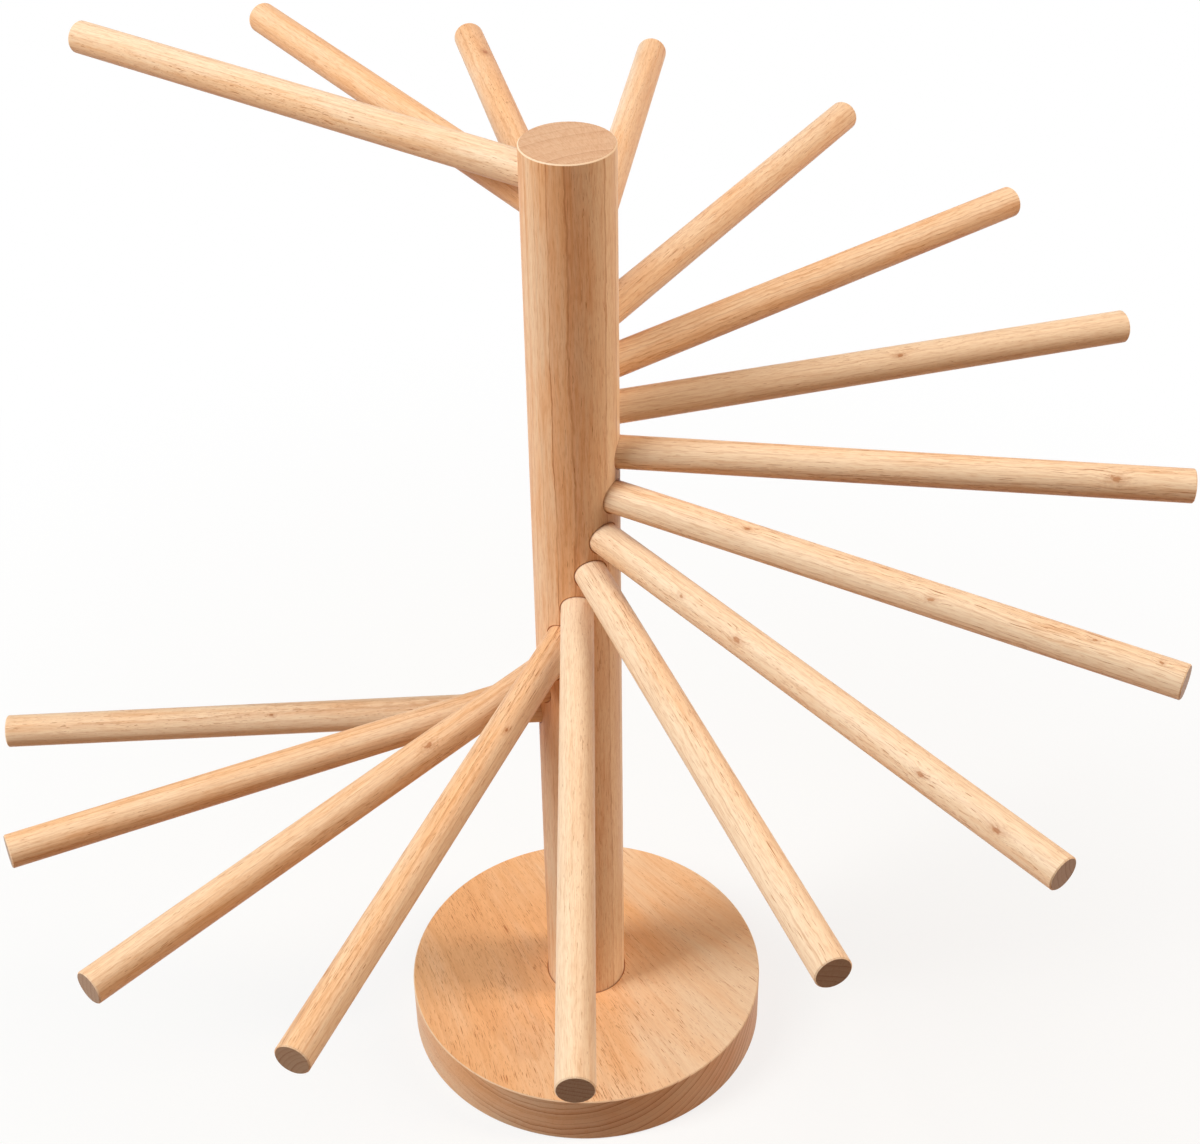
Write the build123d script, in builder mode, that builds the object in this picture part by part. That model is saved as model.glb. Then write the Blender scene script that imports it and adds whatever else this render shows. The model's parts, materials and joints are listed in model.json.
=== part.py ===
"""Pasta drying rack in beech: a round post standing in a disc base, with sixteen
straight rods pushed into holes that run down the post in a spiral.

Millimetres, +Z up. The origin is the centre of the base's underside.
Bearings are degrees in plan, from +X towards +Y. Rods are numbered from the top.
"""
from build123d import *
import math
import os

os.makedirs("parts", exist_ok=True)

# Base: a flat disc that the rack stands on
base_diameter = 146.0
base_thickness = 22.5
base_floor = 6.5  # wood left under the bore that holds the post

# Post: a plain round bar, measured with the base to the rack's whole height
post_diameter = 32.0
rack_height = 400.0

# Rods: sixteen alike, cut from round bar
rod_count = 16
rod_diameter = 12.0
rod_length = 220.0

# Fits: a rod in its socket and the post's foot in the base slide by hand
running_clearance = 0.06

# Sockets: blind holes, one for each rod
socket_back_wall = 8.0  # wood left behind a socket, on the far side of the post
socket_wall = 2.5  # wood left between one socket and the next, at the post's middle
post_top_wall = 7.8  # wood left above the top socket

# Edges are only broken with fine paper
edge_easing = 0.4
mouth_easing = 0.3

# How far a cutting tool starts outside the wood
cut_overrun = 5.0

# The spiral turns clockwise on its way down, seen from above
top_rod_bearing = 144.5
bearing_step = -21.5

# The holes were drilled a little off the even spiral: degrees sideways, then degrees of droop
bearing_errors = [0, 0, -1, 0.5, 0, 0, 1, -1, -2.5, -1.5, -0.5, 1, 0.5, 0.5, 0.5, 0]
droops = [0, 0.5, 2.5, 1, 1.5, 1, 1.5, 1, 1.5, 3, 0.5, 2.5, 1, 1.5, 0, 0]

# How much of its socket each rod leaves empty, because rods are pushed in by hand
proud_shares = [0.3, 0.25, 0.2, 0.25, 0.2, 0.2, 0.05, 0.05, 0.35, 0.5, 0.2, 0.6, 0.45, 0.5, 0.2, 0.2]

# Worked out from the sizes above
post_radius = post_diameter / 2
rod_radius = rod_diameter / 2
socket_radius = rod_radius + running_clearance
socket_depth = post_diameter - socket_back_wall
socket_pitch = 2 * socket_radius + socket_wall
top_socket_height = rack_height - post_top_wall - socket_radius
bore_radius = post_radius + running_clearance
bore_depth = base_thickness - base_floor
post_length = rack_height - base_floor


def rod_bearing(index):
    """Bearing of one rod, in degrees."""
    return top_rod_bearing + index * bearing_step + bearing_errors[index]


def rod_direction(index):
    """Unit vector out of the post along one rod."""
    bearing = math.radians(rod_bearing(index))
    droop = math.radians(droops[index])
    level = math.cos(droop)
    return Vector(level * math.cos(bearing), level * math.sin(bearing), -math.sin(droop))


def rod_plane(index, distance):
    """Plane square to one rod, at a distance along it from the post's middle."""
    direction = rod_direction(index)
    middle = Vector(0, 0, top_socket_height - index * socket_pitch)
    sideways = Vector(0, 0, 1).cross(direction)
    return Plane(origin=middle + direction * distance, x_dir=sideways, z_dir=direction)


def socket_bottom(index):
    """Plane at the blind end of one rod's socket."""
    return rod_plane(index, post_radius - socket_depth)


def rod_inner_end(index):
    """Plane at the end of one rod that is inside the post."""
    empty = proud_shares[index] * socket_depth
    return rod_plane(index, post_radius - socket_depth + empty)


# Base, with a blind bore in its top for the post's foot
with BuildPart() as base:
    with BuildSketch(Plane.XY):
        Circle(base_diameter / 2)
    extrude(amount=base_thickness)
    chamfer(base.edges().filter_by(GeomType.CIRCLE), edge_easing)
    with BuildSketch(Plane.XY.offset(base_floor)):
        Circle(bore_radius)
    extrude(amount=bore_depth, mode=Mode.SUBTRACT)
    bore_mouth = base.edges(Select.LAST).filter_by(GeomType.CIRCLE).sort_by(Axis.Z)[-1]
    chamfer(bore_mouth, mouth_easing)
base.part.label = "base"
export_step(base.part, "parts/base.step")

# Post, with one slanting socket for each rod
with BuildPart() as post:
    with BuildSketch(Plane.XY.offset(base_floor)):
        Circle(post_radius)
    extrude(amount=post_length)
    chamfer(post.edges().filter_by(GeomType.CIRCLE), edge_easing)
    for index in range(rod_count):
        with BuildSketch(socket_bottom(index)):
            Circle(socket_radius)
        extrude(amount=socket_depth + cut_overrun, mode=Mode.SUBTRACT)
        curved_edges = post.edges(Select.LAST).filter_by(GeomType.LINE, reverse=True)
        mouth = curved_edges.filter_by(GeomType.CIRCLE, reverse=True)
        chamfer(mouth, mouth_easing)
post.part.label = "post"
export_step(post.part, "parts/post.step")

# Rods, each its own piece
for index in range(rod_count):
    name = f"rod_{index + 1:02d}"
    with BuildPart() as rod:
        with BuildSketch(rod_inner_end(index)):
            Circle(rod_radius)
        extrude(amount=rod_length)
        chamfer(rod.edges().filter_by(GeomType.CIRCLE), edge_easing)
    rod.part.label = name
    export_step(rod.part, f"parts/{name}.step")
    reach = post_radius - socket_depth * (1 - proud_shares[index]) + rod_length
    print(f"{name}: bearing {rod_bearing(index):.1f}, droop {droops[index]}, reaches {reach:.1f}")

print(f"post {post_length:.1f} long, sockets {socket_depth:.1f} deep at {socket_pitch:.2f} pitch")
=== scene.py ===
# %% [markdown]
# # A beech pasta drying rack
# The rack is three kinds of piece: a disc base, a round post that stands in it, and sixteen
# rods pushed into the post in a falling spiral. The CAD model already holds their true shapes,
# so this lesson is about two things: wood that looks solid, and light that shows it.
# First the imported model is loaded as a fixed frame. Everything here is in metres.

# %% Load the frame
import json
import math

import bpy
from mathutils import Matrix, Vector


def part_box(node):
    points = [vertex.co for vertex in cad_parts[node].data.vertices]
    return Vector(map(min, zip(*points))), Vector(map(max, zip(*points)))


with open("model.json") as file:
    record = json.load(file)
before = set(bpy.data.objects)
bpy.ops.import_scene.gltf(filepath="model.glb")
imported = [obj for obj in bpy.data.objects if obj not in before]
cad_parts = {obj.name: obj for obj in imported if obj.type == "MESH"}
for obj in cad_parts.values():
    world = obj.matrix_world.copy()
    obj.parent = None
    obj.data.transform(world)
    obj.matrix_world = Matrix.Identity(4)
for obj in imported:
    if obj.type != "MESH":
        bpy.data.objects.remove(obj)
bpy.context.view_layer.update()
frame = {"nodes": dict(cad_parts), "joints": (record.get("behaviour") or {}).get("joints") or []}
bpy.ops.object.select_all(action="DESELECT")
print("loaded", len(frame["nodes"]), "pieces")

# %% [markdown]
# Colours are easiest to judge as the eight-bit numbers of a paint program, but Blender's sockets
# take linear light. One small function turns the first into the second. Beech goes from pale to
# a warm tone, and each kind of piece has its own warm tone, because no two trees are alike.

# %% Colours
def colour(red, green, blue):
    """A paint program's colour as linear light, with full alpha."""
    def linear(level):
        share = level / 255
        return share / 12.92 if share <= 0.04045 else ((share + 0.055) / 1.055) ** 2.4
    return (linear(red), linear(green), linear(blue), 1)


PALE = colour(251, 224, 194)  # the palest wood of all the pieces
WARM = colour(247, 187, 133)  # the warmest wood of the post
HONEY = colour(247, 191, 139)  # the warmest wood of the base
TAN = colour(246, 196, 147)  # the warmest wood of the rods
SAWN = colour(232, 190, 156)  # wood sawn across its fibres


def browner(depth):
    """What to multiply a wood colour by to make it darker by this depth, and redder with it."""
    return ((1 - depth) ** 0.6, (1 - depth) ** 1.1, (1 - depth) ** 1.5, 1)


def duller(depth):
    """What to multiply a wood colour by to make it darker by this depth, and hardly redder."""
    return (1 - depth, (1 - depth) ** 1.05, (1 - depth) ** 1.1, 1)


print("pale beech is", [round(level, 3) for level in PALE])

# %% [markdown]
# Wood is mostly arithmetic: distances from the heart of the tree, divided into yearly rings.
# A node tree for that gets long when each sum is a node placed by hand. So a Wire stands for one
# output socket, and the usual signs on a wire add the Math nodes. Every other node comes from
# one method, add, which takes a node's type, its settings, and what its sockets get.

# %% Wires and shaders
class Wire:
    """One output socket, on which sums can be written."""

    def __init__(self, shader, socket):
        self.shader = shader
        self.socket = socket

    def __add__(self, other):
        return self.shader.maths("ADD", self, other)

    def __radd__(self, other):
        return self.shader.maths("ADD", other, self)

    def __sub__(self, other):
        return self.shader.maths("SUBTRACT", self, other)

    def __rsub__(self, other):
        return self.shader.maths("SUBTRACT", other, self)

    def __mul__(self, other):
        return self.shader.maths("MULTIPLY", self, other)

    def __rmul__(self, other):
        return self.shader.maths("MULTIPLY", other, self)

    def __truediv__(self, other):
        return self.shader.maths("DIVIDE", self, other)

    def __pow__(self, other):
        return self.shader.maths("POWER", self, other)

    def __abs__(self):
        return self.shader.maths("ABSOLUTE", self)


class Shader:
    """The nodes of one material, or of the room's light."""

    def __init__(self, owner):
        self.owner = owner
        owner.use_nodes = True
        self.nodes = owner.node_tree.nodes
        self.links = owner.node_tree.links
        self.nodes.clear()

    def add(self, kind, settings=None, sockets=None, output=0):
        """Adds one node, sets it up, fills its sockets, and gives back a wire from it."""
        node = self.nodes.new("ShaderNode" + kind)
        for name, value in (settings or {}).items():
            setattr(node, name, value)
        for name, value in (sockets or {}).items():
            if isinstance(value, Wire):
                self.links.new(value.socket, node.inputs[name])
            else:
                node.inputs[name].default_value = value
        return Wire(self, node.outputs[output]) if len(node.outputs) else None

    def maths(self, operation, *values):
        """A Math node that works on these values, in this order."""
        return self.add("Math", {"operation": operation}, dict(enumerate(values)))

    def measure(self, operation, vector, other=(0, 0, 0)):
        """One number from two vectors, such as the distance between them."""
        return self.add("VectorMath", {"operation": operation}, {0: vector, 1: other}, "Value")

    def step(self, value, low, high):
        """0 at low, 1 at high, and smooth between; low may be above high."""
        return self.add("MapRange", {"interpolation_type": "SMOOTHSTEP"},
                        {"Value": value, "From Min": low, "From Max": high})

    def blend(self, share, first, second, kind="MIX"):
        """A colour between two colours. A Mix node takes colours at 6 and 7, and gives one at 2."""
        return self.add("Mix", {"data_type": "RGBA", "blend_type": kind}, {0: share, 6: first, 7: second}, 2)

    def darken(self, share, shade, tint):
        """A colour multiplied by a tint, by a share."""
        return self.blend(share, shade, tint, "MULTIPLY")

    def noise(self, place, detail=2.0):
        """Soft noise with cells one unit across, about 0.5."""
        sockets = {"Vector": place, "Scale": 1.0, "Detail": detail, "Roughness": 0.55}
        return self.add("TexNoise", {"normalize": True}, sockets)

    def noise_along(self, value, detail=1.0):
        """Soft noise that changes with one number alone."""
        return self.add("TexNoise", {"noise_dimensions": "1D"}, {"W": value, "Scale": 1.0, "Detail": detail})


print("wires and shaders are ready")

# %% [markdown]
# Every piece was sawn from a tree, so its pattern is a solid one that runs right through. Each
# piece gets its own place in the tree: a Mapping node turns the pattern so that its X axis lies
# along the fibres, puts its zero at the piece's middle, and counts in millimetres. Noise that is
# stretched along X is then a fibre. Real fibres are never ruler-straight, so the whole place is
# made to sway a little before anything is drawn on it, and near a tree's foot they fan out.

# %% Timber
MILLIMETRE = 0.001
DIAGONAL = 0.7  # this much across and as much up come to about 1 in all


class Timber(Shader):
    """A material that counts its place in millimetres along and across the fibres."""

    def __init__(self, name, middle, along, offset):
        super().__init__(bpy.data.materials.new(name))
        self.middle = middle
        self.offset = offset
        self.turn = along.to_track_quat("X", "Z").to_matrix()
        self.here = self.add("TexCoord", output="Object")
        self.facing = self.add("TexCoord", output="Normal")
        self.place = self.add("Mapping", {"vector_type": "TEXTURE"}, {
            "Vector": self.here, "Location": middle, "Rotation": self.turn.to_euler(),
            "Scale": (MILLIMETRE, MILLIMETRE, MILLIMETRE)})

    def local(self, point):
        """A point's place in the pattern, in millimetres."""
        return self.turn.transposed() @ (point - self.middle) / MILLIMETRE

    def parts(self):
        """How far the place is along the fibres, across them and up."""
        return [self.add("SeparateXYZ", None, {0: self.place}, axis) for axis in range(3)]

    def fibres(self, long, thick, shift, detail=2.0):
        """Noise in streaks this many millimetres long and thick. The shift makes each layer differ."""
        place = self.add("Mapping", {"vector_type": "POINT"}, {
            "Vector": self.place, "Location": (shift + self.offset, shift, self.offset),
            "Scale": (1 / long, 1 / thick, 1 / thick)})
        return self.noise(place, detail)

    def squareness(self, direction):
        """1 where the surface faces along a direction, 0 where it faces across it, -1 where it faces back."""
        return self.measure("DOT_PRODUCT", self.facing, direction)

    def move(self, across, up=0.0):
        """Moves the pattern by these millimetres, for all that is drawn later."""
        sideways = self.add("CombineXYZ", None, {1: across, 2: up})
        self.place = self.add("VectorMath", {"operation": "ADD"}, {0: self.place, 1: sideways})

    def sway(self, amount):
        """Moves the pattern across and up at once, by this many millimetres in all."""
        self.move(amount * DIAGONAL, amount * DIAGONAL)

    def fan_out(self, flare):
        """Spreads the fibres towards one end, by this share for each millimetre along them."""
        length, across, _ = self.parts()
        self.move(across * length * -flare)


def level(bearing):
    """The level direction at a bearing, in degrees from +X towards +Y."""
    turn = math.radians(bearing)
    return Vector((math.cos(turn), math.sin(turn), 0))


print("timber is ready")

# %% [markdown]
# A pin knot is where a twig once grew. It is a small brown eye with a faint stain round it, and
# the fibres part round it. So each knot makes the place sway near it, and adds to a mask for its
# own colour. The mask is squeezed by noise, because no knot is a neat oval.

# %% Pin knots
KNOT_STRETCH = 1.9  # how many times as long along the fibres as across them
RAGGED = (1.3, 0.8, 21.0)  # the noise that squeezes a knot: millimetres long and thick, and its shift


def grow_knots(wood, knots):
    """Parts the fibres round each knot, a point and a size in millimetres, and gives a mask of knots."""
    length, across, up = wood.parts()
    uneven = (wood.fibres(*RAGGED) - 0.5) * 2.0 + 1.0
    parting, knotty = 0.0, 0.0
    for point, size in knots:
        spot = wood.local(point)
        lengthwise = (length - spot.x) / KNOT_STRETCH
        gap = (lengthwise ** 2.0 + (across - spot.y) ** 2.0 + (up - spot.z) ** 2.0) ** 0.5
        parting = wood.step(gap, size * 3.0, size * 0.4) * (size * 0.6) + parting
        ragged = gap * uneven
        eye = wood.step(ragged, size * 0.8, size * 0.35)
        stain = wood.step(ragged, size * 2.0, size * 0.4) * 0.4
        knotty = wood.maths("MAXIMUM", eye, stain) + knotty
    wood.sway(parting)
    return knotty


print("knots are ready")

# %% [markdown]
# Growth rings are distances from the heart of the tree, a line that runs beside the piece. The
# same recipe then gives stripes along a rod, arcs on its sawn end, and the flowing figure on the
# base, with no seam where they meet. In beech a ring is a soft band that ends in a fine line,
# and no two years are alike, so slow noise on the ring's number makes some bands broad and dark
# and leaves others out.
#
# How a face lies to the rings matters as much. Where it looks straight at the heart, it cuts the
# thin rays across, and they show as short dark flecks. Where it looks along the rings, it is smooth.

# %% Growth rings
LINE_BEGINS, LINE_FULL, LINE_ENDS = 0.55, 0.25, 0.08  # how many millimetres before the year's end
GRADE_PACE = 0.6  # how much the strength of bands and lines changes in a year
TONE_PACE = 0.21  # how much the wood's tone changes in a year, which is less
RAYS_ROUND = 150.0  # how closely the rays stand round the heart


def grow_rings(wood, heart, ring, taper):
    """Gives masks of bands, lines and rays, the years' tone, and how far a face looks at the heart."""
    length, across, up = wood.parts()
    centre = wood.local(heart)
    sideways, upward = across - centre.y, up - centre.z
    distance = (sideways ** 2.0 + upward ** 2.0) ** 0.5
    years = (distance + length * taper) / ring
    season = wood.maths("FRACT", years)
    grade = wood.noise_along(years * GRADE_PACE + wood.offset)
    band = wood.step(season, 0.1, 0.85) * wood.step(season, 1.0, 0.92) * wood.step(grade, 0.25, 0.7)
    line = wood.step(season, 1 - LINE_BEGINS / ring, 1 - LINE_FULL / ring)
    line = line * wood.step(season, 1.0, 1 - LINE_ENDS / ring) * (wood.step(grade, 0.4, 0.6) * 0.6 + 0.4)
    tone = wood.noise_along(years * TONE_PACE + wood.offset, 0.0)
    bearing = wood.maths("ARCTAN2", upward, sideways)
    ray_place = wood.add("CombineXYZ", None, {0: bearing * RAYS_ROUND, 1: distance * 0.4, 2: length * 0.2})
    looking = wood.squareness(wood.turn.col[1]) * sideways + wood.squareness(wood.turn.col[2]) * upward
    return band, line, wood.noise(ray_place, 1.0), tone, abs(looking / distance)


print("rings are ready")

# %% [markdown]
# Under the rings lie the fibres, from broad clouds of tone down to hair-thin lines. Each layer is
# the same stretched noise at its own length and thickness. The short brown flecks that mark beech
# out from other woods are the peaks of two more such layers, a small faint one and a larger dark
# one. They gather in patches, and most of all where a face looks at the heart.

# %% Fibres and flecks
# Layers of fibres: millimetres long, millimetres thick, and a shift that makes each layer differ
BROAD_SWAY = (95.0, 30.0, 0.0)
SMALL_SWAY = (13.0, 6.0, 3.0)
FINE_SWAY = (6.0, 2.5, 17.0)
CLOUD = (48.0, 15.0, 5.0)
STREAK = (26.0, 1.3, 7.0)
HAIR = (4.5, 0.32, 11.0)
PATCH = (26.0, 8.0, 15.0)
BREAKS = (24.0, 2.5, 19.0)
USUAL_LOOK = 0.6  # how far a face looks at the heart, on average


def scatter_flecks(wood, to_heart, amount, stretch):
    """A mask of flecks. The amount goes from 0 to 1, and the stretch makes them longer."""
    patch = (wood.fibres(*PATCH) - 0.5) * 0.14 + (to_heart - USUAL_LOOK) * 0.08
    small = wood.fibres(2.6 * stretch, 0.3, 2.0, detail=1.0) + patch
    large = wood.fibres(5.0 * stretch, 0.36, 8.0, detail=1.0) + patch
    rare = 0.76 - 0.16 * amount
    faint = wood.step(small, rare, rare + 0.05) * 0.7
    return wood.maths("MAXIMUM", faint, wood.step(large, rare, rare + 0.05))


print("flecks are ready")

# %% [markdown]
# Two small marks finish the pieces. An eased edge that faces half up is painted paler: a painted
# highlight where the edge catches the light, with some paleness of sanding. Facing half up is how it
# is found. A seam is the mouth of a hole, and it gets painted shade: a thin dark ring at a known
# distance from the hole's middle, where the gap round the hole lies in shadow.

# %% Edges and seams
HALF_UP = math.sqrt(0.5)
SEAM_BEGINS, SEAM_FULL = 0.0007, 0.0003  # metres outside the hole


def paint_edge_highlight_and_wear(wood, shade, share):
    """Paints the eased edges that face half up paler, by a share: a painted highlight, with some sanded
    paleness.
    """
    edge_highlight_mask = wood.step(abs(wood.squareness((0, 0, 1)) - HALF_UP), 0.16, 0.04)
    return wood.blend(edge_highlight_mask * share, shade, PALE)


def paint_seam_shade(wood, shade, mouths, radius):
    """Paints shade round each hole as a thin dark ring, given the middle of its mouth."""
    gap = 1.0
    for mouth in mouths:
        gap = wood.maths("MINIMUM", wood.measure("DISTANCE", wood.here, mouth), gap)
    return wood.darken(wood.step(gap, radius + SEAM_BEGINS, radius + SEAM_FULL), shade, browner(0.65))


print("edges and seams are ready")

# %% [markdown]
# Now the recipe comes together. First a ground colour between pale and warm, which the clouds,
# the streaks and the years push up and down, and which the sapwood, the younger wood under the
# bark, makes paler on one side. Then each kind of mark darkens it: streaks, hairs, flecks, bands,
# lines, rays and knots. Where a face is sawn across the fibres it drinks more light, so it is
# duller there. All this is one recipe with many measures, because a tree is one recipe too:
# - ring is a year's width in millimetres, and taper says how fast the rings lean along the piece
# - tone is how warm the wood is, and ages, clouds and streaks how much that varies
# - bands and lines are how strong the rings are along the fibres, and end_lines on sawn faces
# - flecks is how many flecks there are, and fleck_length how long they are
# - wander is how much the fibres sway, and flare how much they fan out
# - sawn_at says how square to the fibres a face is where it starts and ends turning sawn
# - greyness, dullness and rays are how grey and dark a sawn face is, and how dark its rays are
# - rim is how strongly the eased edges get a painted highlight and sanded paleness, and offset
#   moves the noise so that no two pieces are alike
# - sapwood is the direction of the bark, where the zone begins and ends in metres, and how pale it is

# %% Beech
STREAK_BROWN = browner(0.2)
HAIR_BROWN = browner(0.22)
FLECK_BROWN = browner(0.6)
BAND_BROWN = browner(0.25)
LINE_BROWN = browner(0.5)
KNOT_BROWN = browner(0.55)
HAIR_HEIGHT = 0.00006  # metres, felt more than seen


def beech(name, middle, along, heart, *, warm, ring, tone, lines, clouds, flecks, fleck_length, greyness,
          dullness, offset, sawn_at=(0.8, 0.97), taper=0.01, flare=0.0, ages=0.6, bands=0.4, end_lines=0.5,
          wander=1.0, streaks=1.0, rays=0.16, rim=0.0, seams=(), seam_radius=0.0, knots=(), sapwood=None):
    """Bare sanded beech. heart is a point on the line up the middle of the tree."""
    wood = Timber(name, middle, along, offset)
    knotty = grow_knots(wood, knots) if knots else None
    if flare:
        wood.fan_out(flare)
    broad_sway = (wood.fibres(*BROAD_SWAY) - 0.5) * (4.5 * wander)
    wood.sway(broad_sway + (wood.fibres(*SMALL_SWAY) - 0.5) * (1.4 * wander))
    wood.sway((wood.fibres(*FINE_SWAY) - 0.5) * (0.9 * wander))
    band, line, ray, years_tone, to_heart = grow_rings(wood, heart, ring, taper)
    cloud = (wood.fibres(*CLOUD) - 0.5) * clouds + 0.5
    streak = wood.fibres(*STREAK)
    hair = wood.fibres(*HAIR)
    fleck = scatter_flecks(wood, to_heart, flecks, fleck_length)
    sawn = wood.step(abs(wood.squareness(along)), *sawn_at)
    long_side = 1.0 - sawn

    # The ground colour
    warmth = cloud + (streak - 0.5) * (0.5 * streaks) + (years_tone - 0.5) * ages
    warmth = warmth + (to_heart - USUAL_LOOK) * 0.4 + tone
    if sapwood:
        outward, begins, ends, paler = sapwood
        reach = wood.measure("DOT_PRODUCT", wood.here, outward)
        warmth = warmth - wood.step(reach, begins, ends) * paler * long_side
    shade = wood.blend(wood.step(warmth, 0.05, 0.95), PALE, warm)

    # Marks of the fibres, and the dull sawn faces
    shade = wood.darken(wood.step(streak, 0.48, 0.78) * (0.7 * streaks), shade, STREAK_BROWN)
    shade = wood.darken(wood.step(hair, 0.42, 0.75) * streaks, shade, HAIR_BROWN)
    shade = wood.darken(fleck * long_side * 0.9, shade, FLECK_BROWN)
    shade = wood.blend(sawn * greyness, shade, SAWN)
    shade = wood.darken(sawn, shade, duller(dullness))

    # Marks of the rings. Along the fibres their lines are broken here and there
    band_share = band * (long_side * (to_heart * 0.6 + 0.4) * bands + sawn * end_lines * 0.9)
    shade = wood.darken(band_share, shade, BAND_BROWN)
    broken = wood.step(wood.fibres(*BREAKS), 0.34, 0.6) * 0.8 + 0.2
    shade = wood.darken(line * (long_side * lines * broken + sawn * end_lines), shade, LINE_BROWN)
    shade = wood.darken(wood.step(ray, 0.35, 0.75) * sawn, shade, browner(rays))

    # What each piece has of its own: its knots, then a painted highlight on its eased edges and painted shade
    # round its holes
    if knots:
        shade = wood.darken(knotty, shade, KNOT_BROWN)
    # A painted highlight on the eased edges that face half up, with some sanded paleness
    if rim:
        shade = paint_edge_highlight_and_wear(wood, shade, rim)
    # Painted shade: a thin dark ring where the gap round each hole's mouth lies in shadow
    if seams:
        shade = paint_seam_shade(wood, shade, seams, seam_radius)

    relief = hair * 0.5 - fleck * 0.5 - line * 0.3
    bump = wood.add("Bump", None, {"Strength": 0.3, "Distance": HAIR_HEIGHT, "Height": relief})
    satin = wood.add("BsdfPrincipled", None, {
        "Base Color": shade, "Roughness": 0.38 + hair * 0.12, "Normal": bump, "Specular IOR Level": 0.2})
    wood.add("OutputMaterial", None, {"Surface": satin})
    return wood.owner


def dress(node, material):
    """Gives a CAD piece its finish."""
    piece = frame["nodes"][node]
    piece.data.materials.clear()
    piece.data.materials.append(material)


print("beech is ready")

# %% [markdown]
# The base is one flat board. Its fibres run from the back left to the front right, so its
# side shows long grain at the left and right and sawn grain at the front. The heart of the tree
# lay above the board, left of its middle. So the rings show as broad soft bands on that side of
# the top, and as smiling arcs on the side below it. The bark was towards the front right, and
# there the board is paler. The fibres fan out a little towards the front, as near a tree's foot.

# %% The base
BOARD_BEARING = -61
HEART_TO_LEFT, HEART_ABOVE = 0.038, 0.048  # metres from the board's middle
low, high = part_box("base")
middle = (low + high) / 2
post_low, post_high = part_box("post")
post_radius = (post_high.x - post_low.x) / 2
bore_mouth = Vector((0, 0, high.z))
board_heart = middle - level(BOARD_BEARING + 90) * HEART_TO_LEFT + Vector((0, 0, HEART_ABOVE))
board_bark_side = Vector((0.8, -0.6, 0))
dress("base", beech(
    "beech_board", middle, level(BOARD_BEARING), board_heart, warm=HONEY, ring=3.0, taper=0.05, flare=0.004,
    tone=0.15, lines=0.1, end_lines=1.3, clouds=0.8, flecks=0.55, fleck_length=1.6, streaks=0.5,
    sawn_at=(0.12, 0.75), greyness=0.15, dullness=0.18, rays=0.03, rim=0.5, seams=[bore_mouth],
    seam_radius=post_radius, sapwood=(board_bark_side, 0.0, 0.08, 0.4), offset=4.0))
print("base is", [round(side, 4) for side in high - low])

# %% [markdown]
# The rods come before the post here, because their directions say where the post's sockets open.
# They are cut from round bar, and no two come from the same place in the tree. So each rod has
# its own bearing to its heart, nearer or further away, and its stripes and flecks differ from
# the next rod's. Some are paler or more streaked than others, and a few have small knots. The
# lists below give each rod's measures, from the top rod down.

# %% The rods
ROD_RADIUS = 0.006
rod_tones = [-0.2, 0.2, 0.05, -0.05, -0.1, 0.0, -0.7, -0.2, -0.25, -0.4, -0.4, -0.5, -0.2, 0.0, 0.0, -0.5]
rod_flecks = [0.45, 0.3, 0.35, 0.2, 0.5, 0.45, 0.3, 0.6, 0.6, 0.5, 0.5, 0.15, 0.55, 0.5, 0.4, 0.35]
rod_fleck_lengths = [1.0, 1.0, 1.0, 1.0, 2.4, 2.4, 1.2, 2.4, 2.4, 1.0, 2.2, 1.0, 2.2, 2.2, 1.2, 1.0]
rod_lines = [0.35, 0.3, 0.35, 0.2, 0.4, 0.4, 0.25, 0.4, 0.4, 0.3, 0.4, 0.1, 0.4, 0.35, 0.3, 0.3]
rod_rings = [1.5, 1.9, 2.2, 1.5, 1.7, 1.4, 1.5, 1.9, 1.6, 1.8, 2.0, 1.8, 1.5, 2.1, 1.5, 1.8]
# Where the heart lies, in degrees from the rod's front towards its top
rod_hearts = [0, 140, 275, 55, 300, 330, 105, 130, 310, 160, 295, 75, 320, 350, 125, 265]
# Knots by rod: millimetres from the post's axis, degrees from the top towards the front, millimetres across
rod_knots = {
    3: [(182.6, -18, 1.6)], 7: [(121, 35, 1.1)], 8: [(186, 48, 1.8)],
    9: [(68, 16, 1.0), (136, 52, 1.1), (190, 12, 0.9), (212, 16, 0.7)],
    10: [(60, 46, 0.9), (88, 52, 1.4), (170, 52, 1.2), (201, 53, 1.5)],
    13: [(73, 34, 0.9)], 14: [(79, 28, 1.5)], 16: [(117, 34, 0.8)],
}


def rod_sides(direction):
    """Two directions square to a rod: level towards the front, and upward."""
    side = direction.cross(Vector((0, 0, 1))).normalized()
    side = side if side.y < 0 else -side
    upward = side.cross(direction)
    return side, upward if upward.z > 0 else -upward


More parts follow.
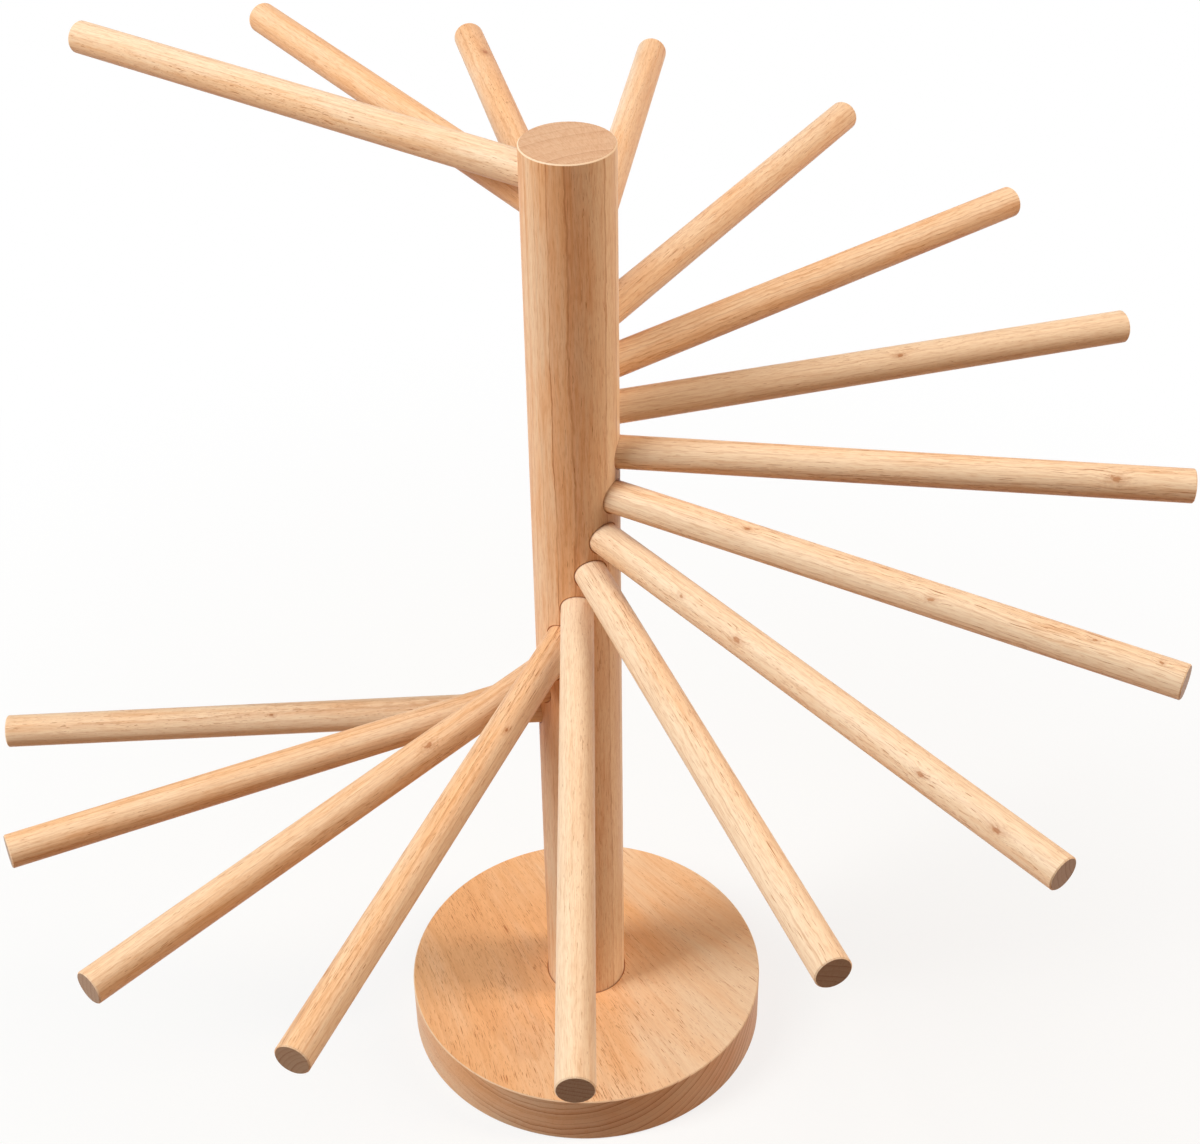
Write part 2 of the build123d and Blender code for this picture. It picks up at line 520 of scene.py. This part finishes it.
slides = [joint for joint in frame["joints"] if joint["child"] != "post"]
rod_directions = {joint["child"]: Vector(joint["axis"]) for joint in slides}
socket_mouths = []
for index, (node, direction) in enumerate(sorted(rod_directions.items())):
    low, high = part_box(node)
    middle = (low + high) / 2
    side, upward = rod_sides(direction)
    socket_mouths.append(middle - direction * (middle.xy.length - post_radius) / direction.xy.length)
    knots = []
    for from_axis, degrees, across in rod_knots.get(index + 1, []):
        lean = math.radians(degrees)
        outward = upward * math.cos(lean) + side * math.sin(lean)
        along_rod = direction * (from_axis * MILLIMETRE - middle.xy.length)
        knots.append((middle + along_rod + outward * ROD_RADIUS, across))
    turn = math.radians(rod_hearts[index])
    away = 0.014 + 0.009 * (index % 4)
    heart = middle + (side * math.cos(turn) + upward * math.sin(turn)) * away
    dress(node, beech(
        f"beech_{node}", middle, direction, heart, warm=TAN, ring=rod_rings[index], tone=rod_tones[index],
        lines=rod_lines[index], wander=0.8, clouds=0.8, flecks=rod_flecks[index],
        fleck_length=rod_fleck_lengths[index], greyness=0.7, dullness=0.5, knots=knots, offset=17.0 * index))
print("dressed", len(rod_directions), "rods")

# %% [markdown]
# The post is turned from a square of timber with upright fibres. The tree's heart lay in front of
# it, so its face is cut along the rings and shows a broad brown band between fine dark lines. Its
# right side was nearest the bark, and is paler.

# %% The post
middle = (post_low + post_high) / 2
post_heart = Vector((0.0218, -0.0568, 0))
post_bark_side = level(-20)
dress("post", beech(
    "beech_post", middle, Vector((0, 0, 1)), post_heart, warm=WARM, ring=4.7, taper=0.001, tone=0.15,
    ages=0.3, bands=0.7, lines=0.9, wander=0.7, clouds=0.6, flecks=0.2, fleck_length=2.5, greyness=0.8,
    dullness=0.15, rim=0.9, seams=socket_mouths, seam_radius=ROD_RADIUS,
    sapwood=(post_bark_side, 0.002, 0.016, 0.65), offset=9.0))
print("post stands", round(post_high.z, 3), "high")

# %% [markdown]
# The rack stands in a white studio, on a plain paper floor. The floor is two papers in one. The
# light that falls on the rack from it comes off a warm brown paper, which gives the wood's
# undersides their glow. What the camera sees, also in gloss or through glass, is white paper that
# is lifted to white, more so away from the rack, so that the rack's shadow stays. The Light Path
# node tells the two apart. The room's walls are made in the same way, dim to the rack and white
# to the eye.

# %% Floor and room
WHITE = (1, 1, 1, 1)
LOOKING_RAYS = ("Is Camera Ray", "Is Glossy Ray", "Is Transmission Ray")
bpy.ops.mesh.primitive_plane_add(size=14, location=(0, 0, -0.0002))
floor = bpy.context.object
floor.name = "studio_floor"


def looked_at(shader):
    """1 for what the camera, gloss or glass shows, and 0 for the light that falls on the rack."""
    camera, glossy, through = [shader.add("LightPath", output=ray) for ray in LOOKING_RAYS]
    return shader.maths("MAXIMUM", shader.maths("MAXIMUM", camera, glossy), through)


paper = Shader(bpy.data.materials.new("studio_paper"))
warm_paper = paper.add("BsdfDiffuse", None, {"Color": (0.45, 0.24, 0.11, 1)})
white_paper = paper.add("BsdfDiffuse", None, {"Color": (0.9, 0.9, 0.9, 1)})
glow = paper.add("Emission", None, {"Color": WHITE, "Strength": 1.0})
from_rack = paper.measure("LENGTH", paper.add("TexCoord", output="Object"))
glow_share = paper.step(from_rack, 0.1, 0.6) * 0.22 + 0.78
lifted = paper.add("MixShader", None, {0: glow_share, 1: white_paper, 2: glow})
paper_end = paper.add("MixShader", None, {0: looked_at(paper), 1: warm_paper, 2: lifted})
paper.add("OutputMaterial", None, {"Surface": paper_end})
floor.data.materials.append(paper.owner)

room = Shader(bpy.data.worlds.new("studio_room"))
dim_wall = room.add("Background", None, {"Color": WHITE, "Strength": 0.02})
white_wall = room.add("Background", None, {"Color": WHITE, "Strength": 1.0})
walls = room.add("MixShader", None, {0: looked_at(room), 1: dim_wall, 2: white_wall})
room.add("OutputWorld", None, {"Surface": walls})
bpy.context.scene.world = room.owner
print("floor is", round(floor.dimensions.x), "metres wide")

# %% [markdown]
# A tall soft lamp high at the left is the key. It is nearly white, and casts the post's soft
# shadow to the right over the base. A warm lamp at the right and another overhead fill the rest,
# and nothing lights the front, which gives the rods their dark undersides. A lamp's power is
# worked out from the share of full light that it gives on a level surface, because a share is
# easy to judge. The three shares add up to 1.28.

# %% Lamps
def lamp(name, bearing, height, away, wide, tall, share, tint):
    """A soft lamp that faces the rack and gives this share of full light on a level surface."""
    light = bpy.data.lights.new(name, "AREA")
    light.shape = "RECTANGLE"
    light.size = wide
    light.size_y = tall
    turn, lift = math.radians(bearing), math.radians(height)
    toward = Vector((math.cos(lift) * math.cos(turn), math.cos(lift) * math.sin(turn), math.sin(lift)))
    light.energy = share * (math.pi * away) ** 2 / toward.z
    light.color = tint
    holder = bpy.data.objects.new(name, light)
    holder.location = Vector((0, 0, 0.2)) + toward * away
    holder.rotation_euler = toward.to_track_quat("Z", "Y").to_euler()
    bpy.context.scene.collection.objects.link(holder)
    print(name, "burns", round(light.energy, 1), "watts")


lamp("key_lamp", bearing=-162, height=46, away=2.4, wide=0.82, tall=1.84, share=0.72, tint=(0.97, 1.0, 0.97))
lamp("right_lamp", bearing=-2, height=37, away=1.9, wide=0.5, tall=2.2, share=0.44, tint=(1.0, 0.80, 0.60))
lamp("top_lamp", bearing=90, height=85, away=2.0, wide=2.0, tall=2.0, share=0.12, tint=(1.0, 0.80, 0.65))

# %% [markdown]
# The camera was found by fitting the outlines of all the rods: it stands a little over half a
# metre in front of the post and looks down at it. Its lens is long, and it needs no shift.

# %% The camera
CAMERA_IN_FRONT = 0.6204
CAMERA_HEIGHT = 0.6932
LOOK_DOWN = math.radians(36.75)
LOOK_RIGHT = math.radians(0.77)
TILT = math.radians(0.87)
FOCAL_PIXELS = 2122.0
PICTURE_WIDTH = 1200.0

forward = Vector((math.sin(LOOK_RIGHT) * math.cos(LOOK_DOWN), math.cos(LOOK_RIGHT) * math.cos(LOOK_DOWN),
                  -math.sin(LOOK_DOWN)))
right = Vector((math.cos(LOOK_RIGHT), -math.sin(LOOK_RIGHT), 0))
up = right.cross(forward)
right_tilted = right * math.cos(TILT) - up * math.sin(TILT)
up_tilted = right_tilted.cross(forward)
camera_data = bpy.data.cameras.new("camera")
camera = bpy.data.objects.new("camera", camera_data)
bpy.context.scene.collection.objects.link(camera)
turned = Matrix((right_tilted, up_tilted, -forward)).transposed().to_4x4()
turned.translation = Vector((0, -CAMERA_IN_FRONT, CAMERA_HEIGHT))
camera.matrix_world = turned
camera_data.sensor_width = 36.0
camera_data.lens = FOCAL_PIXELS / PICTURE_WIDTH * camera_data.sensor_width
camera_data.clip_start = 0.01
bpy.context.scene.camera = camera
bpy.context.scene.view_settings.view_transform = "Standard"
print("lens", round(camera_data.lens, 1), "mm")
